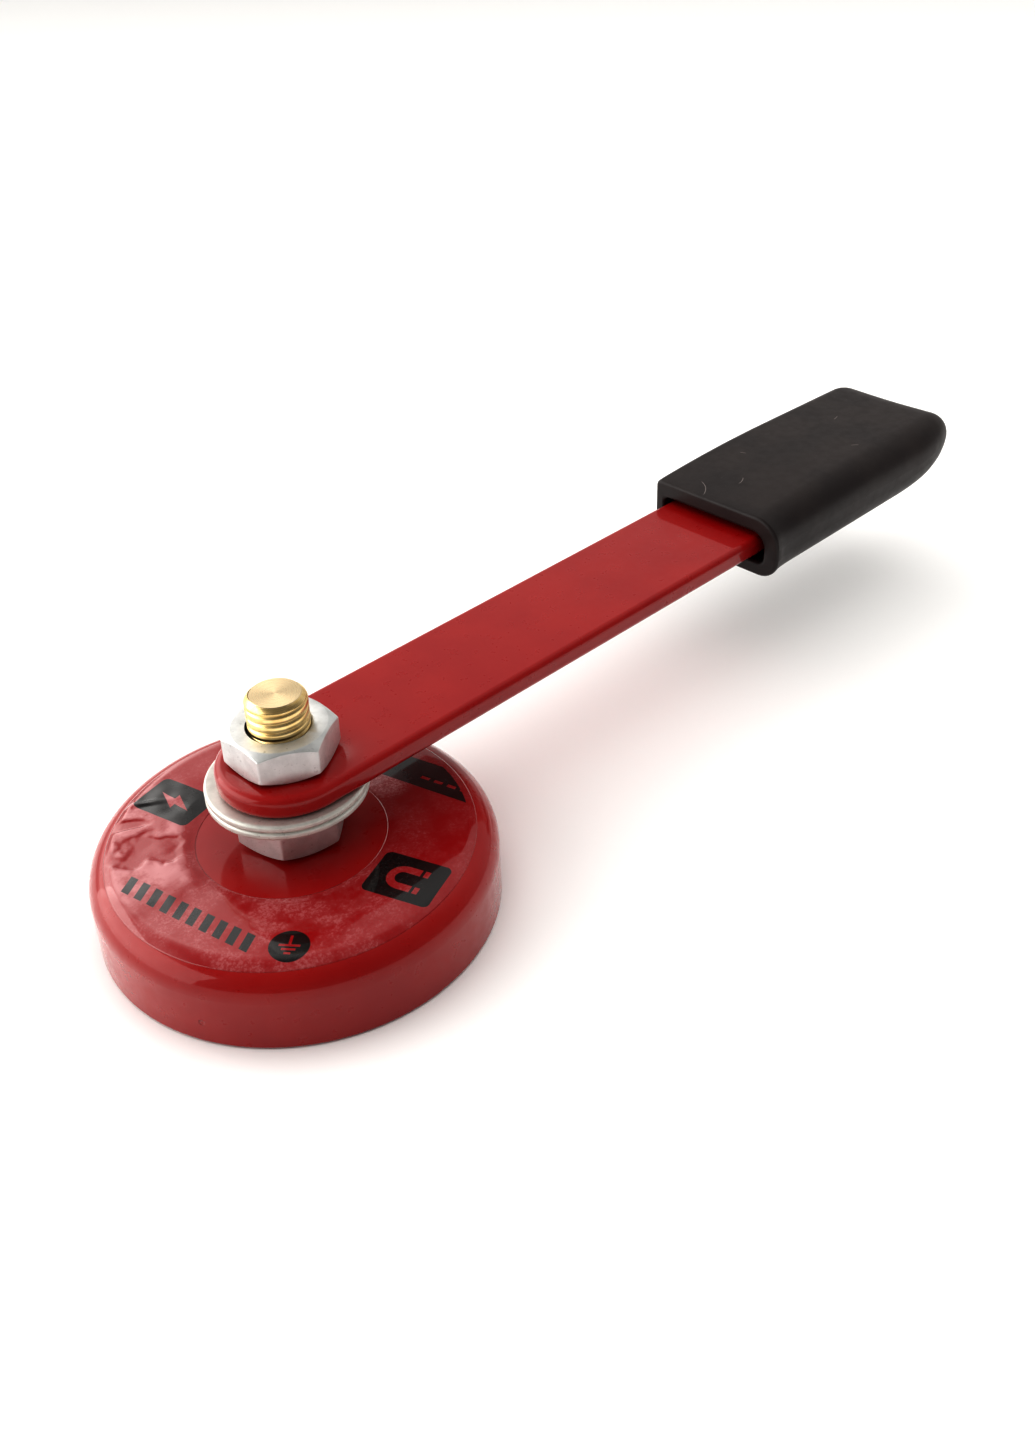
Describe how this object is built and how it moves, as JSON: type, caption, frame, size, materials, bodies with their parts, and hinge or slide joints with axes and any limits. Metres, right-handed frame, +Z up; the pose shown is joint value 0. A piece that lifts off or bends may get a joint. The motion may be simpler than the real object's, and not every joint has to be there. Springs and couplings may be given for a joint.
{
  "type": "magnetic welding earth clamp",
  "caption": "Pot magnet with a brass contact stud, and a flat handle with a grip sleeve clamped on the stud between washers and a nut; holds a welding earth cable on steel.",
  "frame": {"origin": "centre of the working face, where the brass contact foot meets the steel that the magnet holds", "axes": "+Z up the stud, away from the working face; +X along the handle, from the stud to the grip"},
  "size_m": [0.1688, 0.054, 0.0331],
  "materials": {
    "red_paint": "gloss enamel",
    "ferrite": "ground ceramic",
    "resin": "cast epoxy",
    "brass": "turned and threaded",
    "zinc_steel": "zinc plated, satin",
    "black_vinyl": "dipped vinyl, satin",
    "label_film": "printed clear film"
  },
  "bodies": {
    "magnet_head": {"magnet_cup": "red_paint", "ring_magnet": "ferrite", "potting_resin": "resin", "contact_stud": "brass", "jam_nut": "zinc_steel", "lower_washer": "zinc_steel", "label_ring": "label_film"},
    "handle": {"handle_bar": "red_paint", "grip_sleeve": "black_vinyl"},
    "nut_carrier": {"upper_washer": "zinc_steel"},
    "nut": {"clamp_nut": "zinc_steel"}
  },
  "joints": [
    {"name": "handle_swivel", "type": "hinge", "parent": "magnet_head", "child": "handle", "pos_m": [0, 0, 0.022], "axis": [0, 0, 1], "continuous": true},
    {"name": "nut_turn", "type": "hinge", "parent": "magnet_head", "child": "nut_carrier", "pos_m": [0, 0, 0.0236], "axis": [0, 0, 1], "range_deg": [0, 2160]},
    {"name": "nut_travel", "type": "slide", "parent": "nut_carrier", "child": "nut", "axis": [0, 0, 1], "range_m": [0, 0.0075]}
  ],
  "couplings": [
    {"joint": "nut_travel", "follows": "nut_turn", "m_per_rad": 0.00019894}
  ]
}
